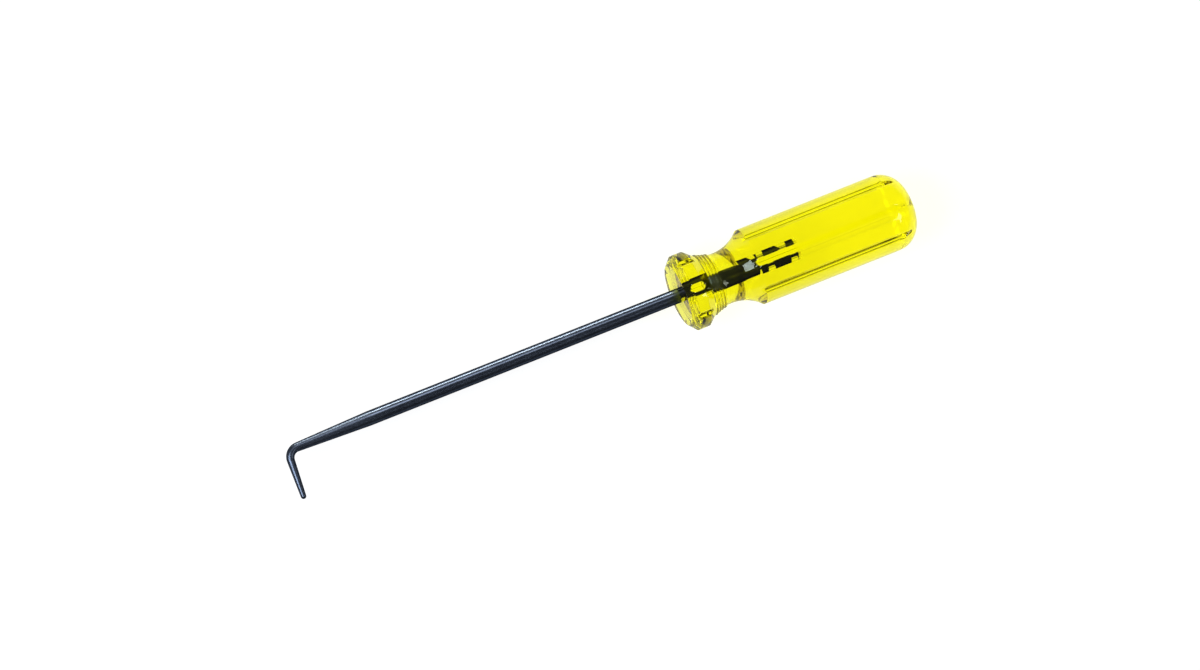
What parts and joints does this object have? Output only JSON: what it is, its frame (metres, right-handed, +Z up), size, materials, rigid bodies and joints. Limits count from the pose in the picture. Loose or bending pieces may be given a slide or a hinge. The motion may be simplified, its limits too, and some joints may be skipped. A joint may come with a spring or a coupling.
{
  "type": "o-ring pick",
  "caption": "Hand pick with a dark steel rod that tapers into a right-angle hook, set in a clear yellow fluted handle with a collar and ringed waist.",
  "frame": {"origin": "under the middle of the whole tool, on the surface that it lies on", "axes": "+X along the rod from the hook to the handle's end, -Y the way the hook points, +Z up with the tool lying on its handle"},
  "size_m": [0.2198, 0.0286, 0.0252],
  "materials": {
    "handle_plastic": "clear yellow, polished, solid",
    "rod_steel": "blue-black oxide on ground steel, satin"
  },
  "bodies": {
    "root": {"handle": "handle_plastic", "pick_shank": "rod_steel"}
  },
  "joints": []
}
